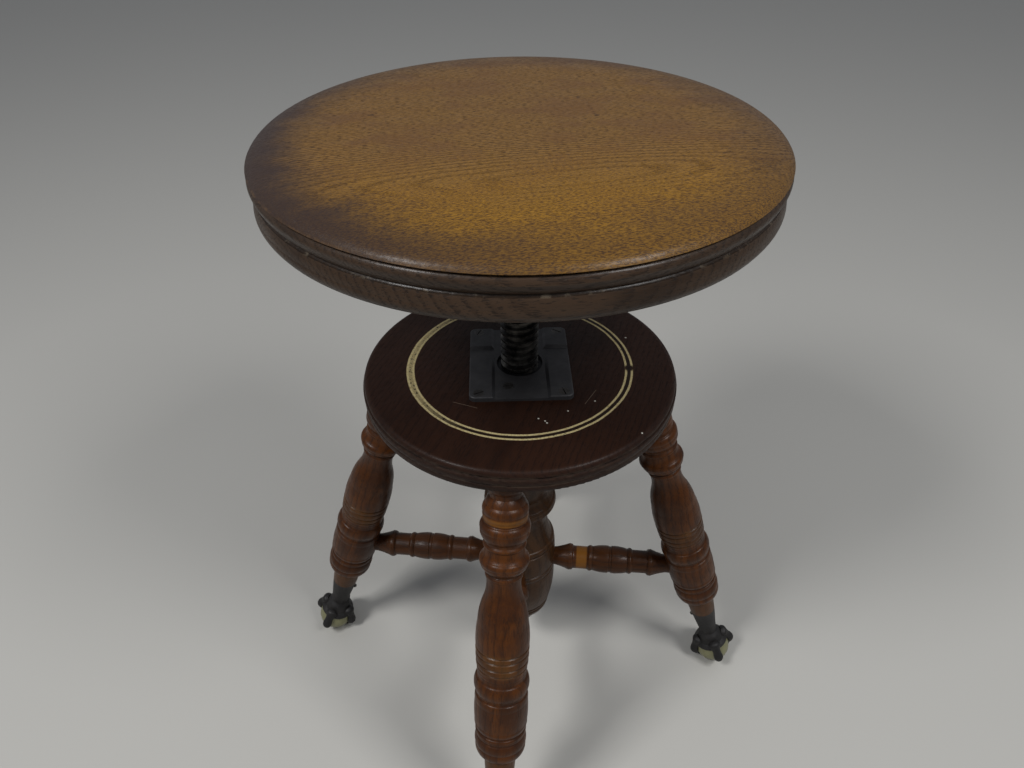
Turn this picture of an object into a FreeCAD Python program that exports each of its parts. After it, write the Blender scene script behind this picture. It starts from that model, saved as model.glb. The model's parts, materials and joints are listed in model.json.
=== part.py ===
"""Revolving piano stool with a threaded spindle, four turned legs and claw and glass ball feet.

Millimetres, +Z up. The origin is on the floor, on the stool's axis. The front leg stands on -Y
and the right leg on +X. The seat is stored at the height that the photograph shows.
"""
import FreeCAD, Part
import math
import os

V = FreeCAD.Vector
UP = V(0, 0, 1)

# Heights of the wooden parts above the floor
SEAT_UNDERSIDE = 534.5
SEAT_RIM_THICKNESS = 29.5
SEAT_TOP_THICKNESS = 9.5
DISC_UNDERSIDE = 358.0
DISC_THICKNESS = 19.0
HUB_BOTTOM = 46.0
STRETCHER_HEIGHT = 142.0

# Radii of the turned round parts
SEAT_RADIUS = 177.8
SEAT_FLAT_RADIUS = 120.0
SEAT_TOP_SETBACK = 0.2
SEAT_TOP_LIP = 0.8
DISC_RADIUS = 127.0
HUB_RADIUS = 34.5
LEG_RADIUS = 22.2
STRETCHER_RADIUS = 13.6

# Stance of the legs
LEG_NAMES = ("front", "right", "back", "left")
FOOT_CIRCLE_RADIUS = 207.0
LEG_TOP_CIRCLE_RADIUS = 101.5
LEG_TENON_RADIUS = 11.0
LEG_TENON_LENGTH = 11.5
LEG_TENON_ROOT = 12.0
LEG_NECK_OVERLAP = 0.5
LEG_STRETCHER_SHARE = 0.95
LEG_PEG_STANDOFF = 7.0

# Glass ball and cast claw foot, sizes along the leg count from the ball's centre
BALL_RADIUS = 17.0
COLLAR_TOP = 65.0
COLLAR_TOP_RADIUS = 12.4
COLLAR_NECK = 27.0
COLLAR_NECK_RADIUS = 8.3
COLLAR_WALL = 2.2
COLLAR_BASE_HEIGHT = 10.8
COLLAR_BASE_SHARE = 0.72
COLLAR_FLARE = 2.6
COLLAR_FLARE_RISE = 3.0
PALM_THICKNESS = 3.4
PALM_HALF_ANGLE = 56.0
TALON_KNUCKLE_RADIUS = 4.9
TALON_TIP_RADIUS = 1.8
TALON_TIP_ANGLE = 116.0
TALON_COUNT = 4
TALON_CENTRE_SHARE = 0.42
FOOT_TURNS = {"front": -16.0, "right": 16.0, "back": 16.0, "left": -16.0}
FOOT_PIN_RADIUS = 1.3
FOOT_PIN_DROP = 9.0
FOOT_PIN_TIP_RADIUS = 4.0
FOOT_PIN_INSET = 1.0
FOOT_PIN_HEAD_RADIUS = 2.08
FOOT_PIN_HEAD_PROUD = 0.4

# Screw that carries the seat: four threads to the inch
THREAD_PITCH = 6.35
THREAD_MAJOR_RADIUS = 15.0
THREAD_DEPTH = 2.4
THREAD_CLEARANCE = 0.3
THREAD_CREST_SHARE = 0.14
THREAD_ROOT_SHARE = 0.33
THREAD_RIDGE_SINK = 0.6
TURNS_UP = 4.0
TURNS_DOWN = 18.5
STOP_GAP = 0.6
JOURNAL_RADIUS = 8.0
WASHER_RADIUS = 16.5
WASHER_THICKNESS = 4.0
STOP_PIN_RADIUS = 2.5
STOP_PIN_PROUD = 4.0
SPINDLE_END_MARGIN = 2.0
SPINDLE_BORE_MARGIN = 5.0
SPINDLE_BORE_RADIUS = 18.0

# Nut and nut plate on the lower disc
NUT_FLANGE_RADIUS = 25.5
NUT_FLANGE_THICKNESS = 4.0
NUT_BOSS_RADIUS = 20.5
NUT_HEIGHT = 26.0
PLATE_WIDTH = 81.0
PLATE_DEPTH = 94.0
PLATE_THICKNESS = 4.2
PLATE_CHANNEL_DEPTH = 2.0
PLATE_COLUMN_WIDTH = 43.0
PLATE_SIDE_CHANNEL_WIDTH = 13.5
PLATE_SIDE_CHANNEL_OFFSET = 13.0
PLATE_CORNER_RADIUS = 5.0
PLATE_HOLE_RADIUS = 18.6
PLATE_EDGE_ROUND = 1.2
PLATE_WALL_SLOPE = 1.2
PLATE_TURN = 7.5
PLATE_SCREW_INSET_X = 7.5
PLATE_SCREW_INSET_Y = 6.0
PLATE_MIDDLE_SCREW = (-10.0, -30.5)
HUB_TENON_RADIUS = 27.0
HUB_TENON_LENGTH = 10.0
HUB_STRETCHER_SHARE = 0.985

# Iron under the seat
IRON_ARM_REACH = 108.0
IRON_ARM_WIDTH = 30.0
IRON_THICKNESS = 5.0
IRON_BOSS_RADIUS = 22.0
IRON_BOSS_HEIGHT = 30.0
IRON_SCREW_CIRCLES = (95.0, 48.0)
IRON_PIN_RADIUS = 2.5
IRON_PIN_HEIGHT = 10.0
IRON_PIN_PROUD = 1.0
IRON_PIN_AZIMUTH = 45.0
IRON_RIB_THICKNESS = 5.0
IRON_RIB_REACH = 26.0
IRON_RIB_INSET = 4.0
IRON_RIB_LIFT = 6.0
SPIGOT_RADIUS = 11.0

# Wood screws
SCREW_HEAD_RADIUS = 4.2
SCREW_SHANK_RADIUS = 2.1
SCREW_HEAD_HEIGHT = 3.0
SCREW_SLOT_WIDTH = 0.9
SCREW_SLOT_DEPTH = 1.0
PLATE_SCREW_LENGTH = 15.0
SEAT_SCREW_LENGTH = 22.0
SCREW_HEAD_LAND = 0.5
PLATE_SLOT_START = 25.0
PLATE_SLOT_STEP = 40.0
SEAT_SLOT_STEP = 35.0

# Fits
JOINT_CLEARANCE = 0.1
RUNNING_CLEARANCE = 0.3
STRETCHER_TENON_RADIUS = 8.6
STRETCHER_TENON_LENGTH = 17.0
CUT_OVERRUN = 10.0
MATCH_TOLERANCE = 0.01

# Worked out from the sizes above
SEAT_JOINT = SEAT_UNDERSIDE + SEAT_RIM_THICKNESS
DISC_TOP = DISC_UNDERSIDE + DISC_THICKNESS
NUT_BOTTOM = DISC_TOP - NUT_HEIGHT
BALL_CENTRE_HEIGHT = BALL_RADIUS
LEG_DROP = DISC_UNDERSIDE - BALL_CENTRE_HEIGHT
LEG_SPREAD = FOOT_CIRCLE_RADIUS - LEG_TOP_CIRCLE_RADIUS
LEG_TILT = math.degrees(math.atan2(LEG_SPREAD, LEG_DROP))
LEG_LENGTH = math.hypot(LEG_SPREAD, LEG_DROP)
THREAD_ROOT_RADIUS = THREAD_MAJOR_RADIUS - THREAD_DEPTH
WASHER_TOP = NUT_BOTTOM - TURNS_UP * THREAD_PITCH - STOP_GAP
THREAD_BOTTOM = WASHER_TOP + RUNNING_CLEARANCE
STOP_PIN_HEIGHT = WASHER_TOP - WASHER_THICKNESS - RUNNING_CLEARANCE - STOP_PIN_RADIUS
SPINDLE_BOTTOM = STOP_PIN_HEIGHT - STOP_PIN_RADIUS - SPINDLE_END_MARGIN
SPINDLE_BORE_BOTTOM = SPINDLE_BOTTOM - TURNS_DOWN * THREAD_PITCH - SPINDLE_BORE_MARGIN
IRON_BOSS_BOTTOM = SEAT_UNDERSIDE - IRON_BOSS_HEIGHT

# Turned outlines: each element is its length, the radius at its end as a share of the
# largest radius, and how far its line bulges outwards in millimetres.
# Leg, from the top of the iron collar up to the disc
LEG_ELEMENTS = (
    (22.0, 0.610, 0.15),
    (1.5, 0.640, 0.0),
    (13.0, 0.945, 2.8),
    (8.7, 0.935, 0.9),
    (2.0, 0.915, -0.3),
    (2.6, 0.955, 0.4),
    (2.4, 0.940, 0.3),
    (2.0, 0.905, -0.3),
    (2.0, 0.975, 0.3),
    (4.0, 0.990, 0.3),
    (22.0, 0.990, 0.5),
    (6.0, 0.975, 0.3),
    (2.0, 0.930, -0.3),
    (2.0, 0.955, 0.2),
    (13.0, 0.960, 1.6),
    (2.5, 0.900, -0.4),
    (3.0, 0.905, 0.0),
    (3.0, 0.925, 0.2),
    (2.6, 0.935, 0.0),
    (0.9, 0.905, 0.0),
    (0.9, 0.950, 0.0),
    (4.2, 0.955, 0.2),
    (0.9, 0.920, 0.0),
    (0.9, 0.965, 0.0),
    (5.2, 0.970, 0.2),
    (0.9, 0.935, 0.0),
    (0.9, 0.975, 0.0),
    (3.7, 0.978, 0.2),
    (0.9, 0.940, 0.0),
    (0.9, 0.980, 0.0),
    (21.8, 0.920, 0.6),
    (22.0, 0.715, 0.9),
    (19.8, 0.630, -1.2),
    (1.2, 0.660, 0.3),
    (2.4, 0.655, 0.4),
    (1.2, 0.630, 0.2),
    (2.2, 0.680, -0.3),
    (6.0, 0.845, 0.9),
    (6.0, 0.790, 1.3),
    (5.0, 0.700, -0.5),
    (3.0, 0.690, 0.0),
    (1.2, 0.735, 0.0),
    (2.4, 0.735, 0.4),
    (1.2, 0.700, 0.0),
    (3.0, 0.745, -0.2),
    (8.2, 0.860, 1.0),
    (6.0, 0.800, 0.9),
    (1.2, 0.745, -0.2),
    (2.2, 0.755, 0.2),
    (5.1, 0.775, 0.5),
    (7.3, 0.700, 1.1),
    (6.0, 0.565, 0.4),
    (4.0, 0.600, -0.2),
    (8.9, 0.720, 0.9),
    (8.0, 0.560, 1.0),
)

# Hub, from its rounded bottom end up to the disc
HUB_ELEMENTS = (
    (10.0, 0.500, 3.6),
    (12.0, 0.615, 0.8),
    (2.0, 0.620, 0.3),
    (0.0, 0.700, 0.0),
    (9.0, 0.840, 1.2),
    (1.6, 0.820, -0.2),
    (3.4, 0.860, 0.5),
    (1.6, 0.835, -0.2),
    (1.4, 0.880, 0.2),
    (46.0, 0.975, 1.6),
    (1.0, 0.945, 0.0),
    (1.0, 0.980, 0.0),
    (5.5, 0.985, 0.3),
    (1.0, 0.950, 0.0),
    (1.0, 0.985, 0.0),
    (26.0, 0.975, 0.5),
    (1.2, 0.940, -0.2),
    (5.5, 0.930, 0.9),
    (1.2, 0.890, -0.2),
    (24.0, 0.735, -0.6),
    (14.0, 0.810, -0.8),
    (3.0, 0.840, 0.2),
    (9.0, 0.960, 2.0),
    (3.0, 0.930, 0.4),
    (1.5, 0.880, -0.3),
    (8.0, 0.780, -0.8),
    (54.0, 1.000, 2.5),
    (51.0, 0.830, 2.0),
    (2.0, 0.830, -0.4),
    (14.0, 0.950, 2.4),
)

# Rounding of the upper seat board: distance in from its edge, and drop below its flat top
SEAT_TOP_ROUNDING = ((16.5, 1.9), (5.0, 4.5))

# Edge of the lower seat board, from its underside up
SEAT_RIM_START = 0.980
SEAT_RIM_ELEMENTS = (
    (1.0, 0.985, 0.2),
    (7.0, 0.994, 1.0),
    (7.2, 0.986, 0.4),
    (1.2, 0.977, -0.2),
    (7.2, 1.000, 0.5),
    (5.2, 0.984, 1.2),
    (0.7, 0.980, 0.0),
)

# Edge of the lower disc, from its underside up
DISC_EDGE_START = 0.984
DISC_EDGE_ELEMENTS = (
    (1.4, 0.994, 0.3),
    (4.8, 0.998, 0.3),
    (0.5, 0.990, 0.0),
    (0.5, 0.997, 0.0),
    (5.0, 1.000, 0.3),
    (0.9, 0.984, 0.0),
    (0.9, 0.992, 0.0),
    (5.0, 0.957, 1.6),
)

# Talon's thickness along its arc: share of the arc, share of the knuckle's radius
TALON_STATIONS = ((0.28, 1.00), (0.42, 1.12), (0.55, 0.84), (0.70, 0.98), (0.86, 0.66))

# One half of a stretcher, from its middle outwards to the shoulder of its tenon
STRETCHER_START = 0.925
STRETCHER_ELEMENTS = (
    (1.2, 0.920, 0.0),
    (1.0, 0.980, 0.2),
    (14.0, 0.870, 0.5),
    (0.8, 0.840, 0.0),
    (0.8, 0.880, 0.2),
    (3.2, 0.880, 0.6),
    (1.2, 0.810, 0.0),
    (13.0, 0.810, 0.0),
    (1.0, 0.830, 0.0),
    (2.6, 0.940, 0.5),
    (2.4, 0.920, 0.3),
    (13.8, 0.632, -0.4),
)


def outline_edges(start_radius, elements, length, scale_radius):
    """Edges of a turned outline from height 0 to length, its elements stretched to fit."""
    stretch = length / sum(element[0] for element in elements)
    edges = []
    radius, height = start_radius, 0.0
    for step, share, bulge in elements:
        end_radius = share * scale_radius
        end_height = height + step * stretch
        start, end = V(radius, 0, height), V(end_radius, 0, end_height)
        chord = end - start
        if abs(bulge) > 0:
            outward = V(chord.z, 0, -chord.x).normalize()
            edges.append(Part.Arc(start, (start + end) * 0.5 + outward * bulge, end).toShape())
        else:
            edges.append(Part.LineSegment(start, end).toShape())
        radius, height = end_radius, end_height
    return edges


def turned(start_radius, elements, length, scale_radius):
    """Solid of revolution about Z of a turned outline, closed by flat ends."""
    edges = outline_edges(start_radius, elements, length, scale_radius)
    end = V(elements[-1][1] * scale_radius, 0, length)
    edges.append(Part.LineSegment(end, V(0, 0, length)).toShape())
    edges.append(Part.LineSegment(V(0, 0, length), V(0, 0, 0)).toShape())
    if start_radius > 0:
        edges.append(Part.LineSegment(V(0, 0, 0), V(start_radius, 0, 0)).toShape())
    return Part.Face(Part.Wire(Part.__sortEdges__(edges))).revolve(V(0, 0, 0), UP, 360)


def revolved(points):
    """Solid of revolution about Z of a closed straight-sided outline of (radius, height)."""
    corners = [V(radius, 0, height) for radius, height in points]
    wire = Part.makePolygon(corners + corners[:1])
    return Part.Face(wire).revolve(V(0, 0, 0), UP, 360)


def rod(radius, bottom, top):
    """Round rod on the Z axis between two heights."""
    return Part.makeCylinder(radius, top - bottom, V(0, 0, bottom))


def block(width, depth, bottom, top):
    """Box centred on the Z axis between two heights."""
    return Part.makeBox(width, depth, top - bottom, V(-width / 2, -depth / 2, bottom))


def moved(shape, place):
    """Copy of a shape set at a placement."""
    copy = shape.copy()
    copy.Placement = place.multiply(copy.Placement)
    return copy


def turned_about_axis(shape, degrees):
    """Copy of a shape turned about the stool's axis."""
    return moved(shape, FreeCAD.Placement(V(0, 0, 0), FreeCAD.Rotation(UP, degrees)))


def leg_azimuth(name):
    """Direction in which a leg stands, in degrees from +X."""
    return 90.0 * LEG_NAMES.index(name) - 90.0


def on_leg(shape, name):
    """Set a shape built along Z from a ball's centre onto one leg's tilted axis."""
    tilt = FreeCAD.Rotation(V(0, 1, 0), -LEG_TILT)
    lean = FreeCAD.Placement(V(FOOT_CIRCLE_RADIUS, 0, BALL_CENTRE_HEIGHT), tilt)
    return turned_about_axis(moved(shape, lean), leg_azimuth(name))


def threaded_rod(bottom, top, clearance):
    """Right-hand threaded rod on the Z axis, grown on all sides by a clearance."""
    root = THREAD_ROOT_RADIUS + clearance
    crest = THREAD_MAJOR_RADIUS + clearance
    crest_half = THREAD_PITCH * THREAD_CREST_SHARE + clearance
    root_half = THREAD_PITCH * THREAD_ROOT_SHARE + clearance
    sunk = root - THREAD_RIDGE_SINK
    first = math.floor((bottom - THREAD_BOTTOM) / THREAD_PITCH) - 1
    start = THREAD_BOTTOM + first * THREAD_PITCH
    turns = math.ceil((top - start) / THREAD_PITCH) + 1
    spread = (crest_half - root_half) * (root - sunk) / (crest - root)
    corners = [
        V(sunk, 0, start - root_half + spread),
        V(crest, 0, start - crest_half),
        V(crest, 0, start + crest_half),
        V(sunk, 0, start + root_half - spread),
    ]
    section = Part.makePolygon(corners + corners[:1])
    helix = Part.makeLongHelix(THREAD_PITCH, turns * THREAD_PITCH, crest, 0.0)
    helix.translate(V(0, 0, start))
    ridge = Part.Wire(helix.Edges).makePipeShell([section], True, True)
    core = rod(root, bottom, top)
    return core.fuse(ridge.common(rod(crest + 1.0, bottom, top)))


def wood_screw(length, clearance):
    """Countersunk wood screw pointing down, its flat head's top at height 0."""
    head = SCREW_HEAD_RADIUS + clearance
    shank = SCREW_SHANK_RADIUS + clearance
    tip = -length - clearance
    outline = [
        (0, 0),
        (head, 0),
        (head, -SCREW_HEAD_LAND),
        (shank, -SCREW_HEAD_HEIGHT),
        (shank, tip + 2 * SCREW_SHANK_RADIUS),
        (0, tip),
    ]
    return revolved(outline)


def slotted_screw(length, turn):
    """Wood screw with its driver slot turned to an angle."""
    slot = block(2 * SCREW_HEAD_RADIUS + 1, SCREW_SLOT_WIDTH, -SCREW_SLOT_DEPTH, 1)
    return wood_screw(length, 0).cut(turned_about_axis(slot, turn))


def at_points(shape_at, places):
    """Compound of copies, one for each place, where shape_at makes the copy."""
    return Part.makeCompound([shape_at(index, place) for index, place in enumerate(places)])


def plate_screw_places():
    """Corner screws and the one screw in the middle channel, in the plate's own frame."""
    x = PLATE_WIDTH / 2 - PLATE_SCREW_INSET_X
    y = PLATE_DEPTH / 2 - PLATE_SCREW_INSET_Y
    pad_top = DISC_TOP + PLATE_THICKNESS
    corners = [V(sx * x, sy * y, pad_top) for sx in (-1, 1) for sy in (-1, 1)]
    middle = V(*PLATE_MIDDLE_SCREW, pad_top - PLATE_CHANNEL_DEPTH)
    return corners + [middle]


def plate_screws(clearance, slots):
    """Screws of the nut plate or, without slots, the holes that take them."""
    def screw(index, place):
        if slots:
            shape = slotted_screw(PLATE_SCREW_LENGTH, PLATE_SLOT_START + PLATE_SLOT_STEP * index)
        else:
            shape = wood_screw(PLATE_SCREW_LENGTH, clearance)
        shape.translate(place)
        return shape
    return turned_about_axis(at_points(screw, plate_screw_places()), PLATE_TURN)


def seat_screws(clearance, slots):
    """Screws up through the seat iron's arms or, without slots, the holes that take them."""
    places = [(radius, 90.0 * arm) for arm in range(4) for radius in IRON_SCREW_CIRCLES]
    flip = FreeCAD.Rotation(V(1, 0, 0), 180)
    head_height = SEAT_UNDERSIDE - IRON_THICKNESS

    def screw(index, place):
        radius, azimuth = place
        if slots:
            shape = slotted_screw(SEAT_SCREW_LENGTH, SEAT_SLOT_STEP * index)
        else:
            shape = wood_screw(SEAT_SCREW_LENGTH, clearance)
        shape = moved(shape, FreeCAD.Placement(V(radius, 0, head_height), flip))
        return turned_about_axis(shape, azimuth)
    return at_points(screw, places)


def hub_tenon_socket(clearance):
    """Round tenon on top of the hub, or the socket in the disc that takes it."""
    return rod(HUB_TENON_RADIUS + clearance, DISC_UNDERSIDE, DISC_UNDERSIDE + HUB_TENON_LENGTH)


def leg_tenon(clearance):
    """Tenon along a leg's axis into the disc, starting a little below the disc."""
    bottom = LEG_LENGTH - LEG_TENON_ROOT
    return rod(LEG_TENON_RADIUS + clearance, bottom, LEG_LENGTH + LEG_TENON_LENGTH + clearance)


def leg_peg(clearance):
    """Tapered peg at a leg's lower end, inside the claw foot's collar."""
    taper = (COLLAR_TOP_RADIUS - COLLAR_NECK_RADIUS) / (COLLAR_TOP - COLLAR_NECK)
    top_radius = COLLAR_TOP_RADIUS - COLLAR_WALL
    bottom = COLLAR_NECK + LEG_PEG_STANDOFF
    bottom_radius = top_radius - taper * (COLLAR_TOP - bottom)
    grown = clearance - JOINT_CLEARANCE
    return revolved([
        (0, bottom - clearance),
        (bottom_radius + grown, bottom - clearance),
        (top_radius + grown, COLLAR_TOP),
        (0, COLLAR_TOP),
    ])


def foot_pin(clearance):
    """Nail through the collar into the peg, on the side that faces the hub."""
    outer = COLLAR_TOP_RADIUS - FOOT_PIN_INSET
    start, inwards = V(-outer, 0, 0), V(1, 0, 0)
    radius = FOOT_PIN_RADIUS + clearance
    shank = Part.makeCylinder(radius, outer - FOOT_PIN_TIP_RADIUS + clearance, start, inwards)
    head = Part.makeSphere(FOOT_PIN_HEAD_RADIUS + clearance, start - inwards * FOOT_PIN_HEAD_PROUD)
    shape = shank.fuse(head)
    shape.translate(V(0, 0, COLLAR_TOP - FOOT_PIN_DROP))
    return shape


def tangent_arc(start, slope, end):
    """Arc that leaves start at a slope in radians and meets end, and its slope there."""
    chord = math.atan2(end.z - start.z, end.x - start.x)
    bend = chord - slope
    aside = V(-math.sin(chord), 0, math.cos(chord))
    rise = start.distanceToPoint(end) / 2 * math.tan(-bend / 2)
    return Part.Arc(start, (start + end) * 0.5 + aside * rise, end).toShape(), chord + bend


def seat_top_board():
    """Upper seat board, flat in the middle and rounded over at its edge."""
    edge = SEAT_RADIUS - SEAT_TOP_SETBACK
    centre, flat = V(0, 0, SEAT_TOP_THICKNESS), V(SEAT_FLAT_RADIUS, 0, SEAT_TOP_THICKNESS)
    lip, heel = V(edge, 0, SEAT_TOP_LIP), V(edge - SEAT_TOP_LIP, 0, 0)
    crest = [V(edge - inset, 0, SEAT_TOP_THICKNESS - drop) for inset, drop in SEAT_TOP_ROUNDING]
    edges = [Part.LineSegment(V(0, 0, 0), centre).toShape(), Part.LineSegment(centre, flat).toShape()]
    start, slope = flat, 0.0
    for end in crest + [lip]:
        arc, slope = tangent_arc(start, slope, end)
        edges.append(arc)
        start = end
    edges.append(Part.LineSegment(lip, heel).toShape())
    edges.append(Part.LineSegment(heel, V(0, 0, 0)).toShape())
    board = Part.Face(Part.Wire(edges)).revolve(V(0, 0, 0), UP, 360)
    board.translate(V(0, 0, SEAT_JOINT))
    return board


def seat_rim_board():
    """Lower seat board with two beads turned on its edge."""
    start = SEAT_RIM_START * SEAT_RADIUS
    board = turned(start, SEAT_RIM_ELEMENTS, SEAT_RIM_THICKNESS, SEAT_RADIUS)
    board.translate(V(0, 0, SEAT_UNDERSIDE))
    return board.cut(seat_screws(JOINT_CLEARANCE, False))


def seat_iron():
    """Cast cross under the seat with a boss that holds the spindle's top end."""
    bottom = SEAT_UNDERSIDE - IRON_THICKNESS
    iron = rod(IRON_BOSS_RADIUS, IRON_BOSS_BOTTOM, SEAT_UNDERSIDE)
    rib_root = IRON_BOSS_RADIUS - IRON_RIB_INSET
    rib_side = -IRON_RIB_THICKNESS / 2
    rib_outline = Part.makePolygon([
        V(rib_root, rib_side, bottom),
        V(IRON_BOSS_RADIUS + IRON_RIB_REACH, rib_side, bottom),
        V(rib_root, rib_side, IRON_BOSS_BOTTOM + IRON_RIB_LIFT),
        V(rib_root, rib_side, bottom),
    ])
    rib = Part.Face(rib_outline).extrude(V(0, IRON_RIB_THICKNESS, 0))
    half = IRON_ARM_WIDTH / 2
    arm = Part.makeBox(IRON_ARM_REACH - half, IRON_ARM_WIDTH, IRON_THICKNESS, V(0, -half, bottom))
    pad = Part.makeCylinder(half, IRON_THICKNESS, V(IRON_ARM_REACH - half, 0, bottom))
    arm = arm.fuse([pad, rib])
    iron = iron.fuse([turned_about_axis(arm, 90.0 * quarter) for quarter in range(4)])
    iron = iron.cut(rod(SPIGOT_RADIUS + JOINT_CLEARANCE, IRON_BOSS_BOTTOM - 1, SEAT_UNDERSIDE + 1))
    iron = iron.cut(seat_screws(JOINT_CLEARANCE, False))
    return iron.cut(seat_iron_pin(JOINT_CLEARANCE)).removeSplitter()


def seat_iron_pin(clearance):
    """Cross pin through the boss and the spindle's spigot."""
    reach = IRON_BOSS_RADIUS + IRON_PIN_PROUD + clearance
    azimuth = math.radians(IRON_PIN_AZIMUTH)
    direction = V(math.cos(azimuth), math.sin(azimuth), 0)
    height = IRON_BOSS_BOTTOM + IRON_PIN_HEIGHT
    start = direction * -reach + V(0, 0, height)
    return Part.makeCylinder(IRON_PIN_RADIUS + clearance, 2 * reach, start, direction)


def spindle():
    """Threaded spindle with a spigot for the seat iron and a journal for the stop washer."""
    screw = threaded_rod(THREAD_BOTTOM, IRON_BOSS_BOTTOM, 0.0)
    spigot = rod(SPIGOT_RADIUS, IRON_BOSS_BOTTOM - 1, SEAT_UNDERSIDE)
    journal = rod(JOURNAL_RADIUS, SPINDLE_BOTTOM, THREAD_BOTTOM + 1)
    shape = screw.fuse([spigot, journal])
    return shape.cut([seat_iron_pin(JOINT_CLEARANCE), spindle_stop_pin(JOINT_CLEARANCE)])


def spindle_stop_pin(clearance):
    """Cross pin that keeps the stop washer on the journal."""
    reach = JOURNAL_RADIUS + STOP_PIN_PROUD + clearance
    start = V(-reach, 0, STOP_PIN_HEIGHT)
    return Part.makeCylinder(STOP_PIN_RADIUS + clearance, 2 * reach, start, V(1, 0, 0))


def spindle_stop_washer():
    """Loose washer that meets the nut and ends the seat's rise."""
    bottom = WASHER_TOP - WASHER_THICKNESS
    ring = rod(WASHER_RADIUS, bottom, WASHER_TOP)
    return ring.cut(rod(JOURNAL_RADIUS + RUNNING_CLEARANCE, bottom - 1, WASHER_TOP + 1))


def spindle_nut():
    """Flanged nut let into the disc, threaded for the spindle."""
    boss = rod(NUT_BOSS_RADIUS, NUT_BOTTOM, DISC_TOP)
    flange = rod(NUT_FLANGE_RADIUS, DISC_TOP - NUT_FLANGE_THICKNESS, DISC_TOP)
    return boss.fuse(flange).cut(threaded_rod(NUT_BOTTOM - 2, DISC_TOP + 2, THREAD_CLEARANCE))


def nut_recess():
    """Space that the nut takes in the disc and in the top of the hub."""
    boss = rod(NUT_BOSS_RADIUS + JOINT_CLEARANCE, NUT_BOTTOM - JOINT_CLEARANCE, DISC_TOP + 1)
    flange_bottom = DISC_TOP - NUT_FLANGE_THICKNESS
    return boss.fuse(rod(NUT_FLANGE_RADIUS + JOINT_CLEARANCE, flange_bottom, DISC_TOP + 1))


def nut_plate():
    """Iron plate over the nut: four raised corner pads with low channels between them."""
    top = DISC_TOP + PLATE_THICKNESS
    plate = block(PLATE_WIDTH, PLATE_DEPTH, DISC_TOP, top)
    corners = [edge for edge in plate.Edges if edge.BoundBox.ZLength > PLATE_THICKNESS - MATCH_TOLERANCE]
    plate = plate.makeFillet(PLATE_CORNER_RADIUS, corners)
    rim = [edge for edge in plate.Edges if edge.BoundBox.ZMin > top - MATCH_TOLERANCE]
    plate = plate.makeFillet(PLATE_EDGE_ROUND, rim)
    floor = top - PLATE_CHANNEL_DEPTH
    column = sloped_channel(PLATE_COLUMN_WIDTH, PLATE_DEPTH + 2 * CUT_OVERRUN, floor, top)
    side = sloped_channel(PLATE_SIDE_CHANNEL_WIDTH, PLATE_WIDTH + 2 * CUT_OVERRUN, floor, top)
    side = turned_about_axis(side, 90)
    side.translate(V(0, PLATE_SIDE_CHANNEL_OFFSET, 0))
    plate = plate.cut([column, side, rod(PLATE_HOLE_RADIUS, DISC_TOP - 1, top + 1)])
    plate = turned_about_axis(plate, PLATE_TURN)
    return plate.cut(plate_screws(JOINT_CLEARANCE, False))


def sloped_channel(width, length, floor, top):
    """Cutting tool for a channel along Y whose walls slope outwards."""
    half, slope = width / 2, PLATE_WALL_SLOPE * (top - floor)
    mouth = top + MATCH_TOLERANCE
    section = Part.makePolygon([
        V(-half + slope / 2, -length / 2, floor),
        V(half - slope / 2, -length / 2, floor),
        V(half + slope / 2, -length / 2, mouth),
        V(-half - slope / 2, -length / 2, mouth),
        V(-half + slope / 2, -length / 2, floor),
    ])
    return Part.Face(section).extrude(V(0, length, 0))


def base_disc():
    """Round lower disc, grooved on its edge and bored for the nut, the hub and the legs."""
    start = DISC_EDGE_START * DISC_RADIUS
    disc = turned(start, DISC_EDGE_ELEMENTS, DISC_THICKNESS, DISC_RADIUS)
    disc.translate(V(0, 0, DISC_UNDERSIDE))
    sockets = [on_leg(leg_tenon(JOINT_CLEARANCE), name) for name in LEG_NAMES]
    disc = disc.cut([nut_recess(), hub_tenon_socket(JOINT_CLEARANCE)] + sockets)
    return disc.cut(plate_screws(JOINT_CLEARANCE, False))


def centre_hub():
    """Turned drop under the disc, bored for the spindle and tenoned into the disc."""
    hub = turned(0.0, HUB_ELEMENTS, DISC_UNDERSIDE - HUB_BOTTOM, HUB_RADIUS)
    hub.translate(V(0, 0, HUB_BOTTOM))
    hub = hub.fuse(hub_tenon_socket(0.0))
    hub = hub.cut([rod(SPINDLE_BORE_RADIUS, SPINDLE_BORE_BOTTOM, DISC_TOP), nut_recess()])
    return hub.cut([placed_stretcher_socket(name) for name in LEG_NAMES])


def stretcher_span():
    """Inner and outer ends of a stretcher's turned length, as radii from the stool's axis."""
    rise = STRETCHER_HEIGHT - BALL_CENTRE_HEIGHT
    slope = LEG_SPREAD / LEG_DROP
    leg_axis = FOOT_CIRCLE_RADIUS - rise * slope
    inner_shoulder = HUB_RADIUS * HUB_STRETCHER_SHARE
    leg_side = leg_axis - LEG_RADIUS * LEG_STRETCHER_SHARE / math.cos(math.radians(LEG_TILT))
    return inner_shoulder, leg_side - STRETCHER_TENON_RADIUS * slope


def stretcher_rod(clearance):
    """The tenons of a stretcher as one plain rod along +X."""
    inner, outer = stretcher_span()
    start = inner - STRETCHER_TENON_LENGTH - clearance
    length = outer - inner + 2 * (STRETCHER_TENON_LENGTH + clearance)
    radius = STRETCHER_TENON_RADIUS + clearance
    return Part.makeCylinder(radius, length, V(start, 0, STRETCHER_HEIGHT), V(1, 0, 0))


def placed_stretcher_socket(name):
    """Space that a stretcher's tenons take in the hub and in a leg."""
    return turned_about_axis(stretcher_rod(JOINT_CLEARANCE), leg_azimuth(name))


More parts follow.
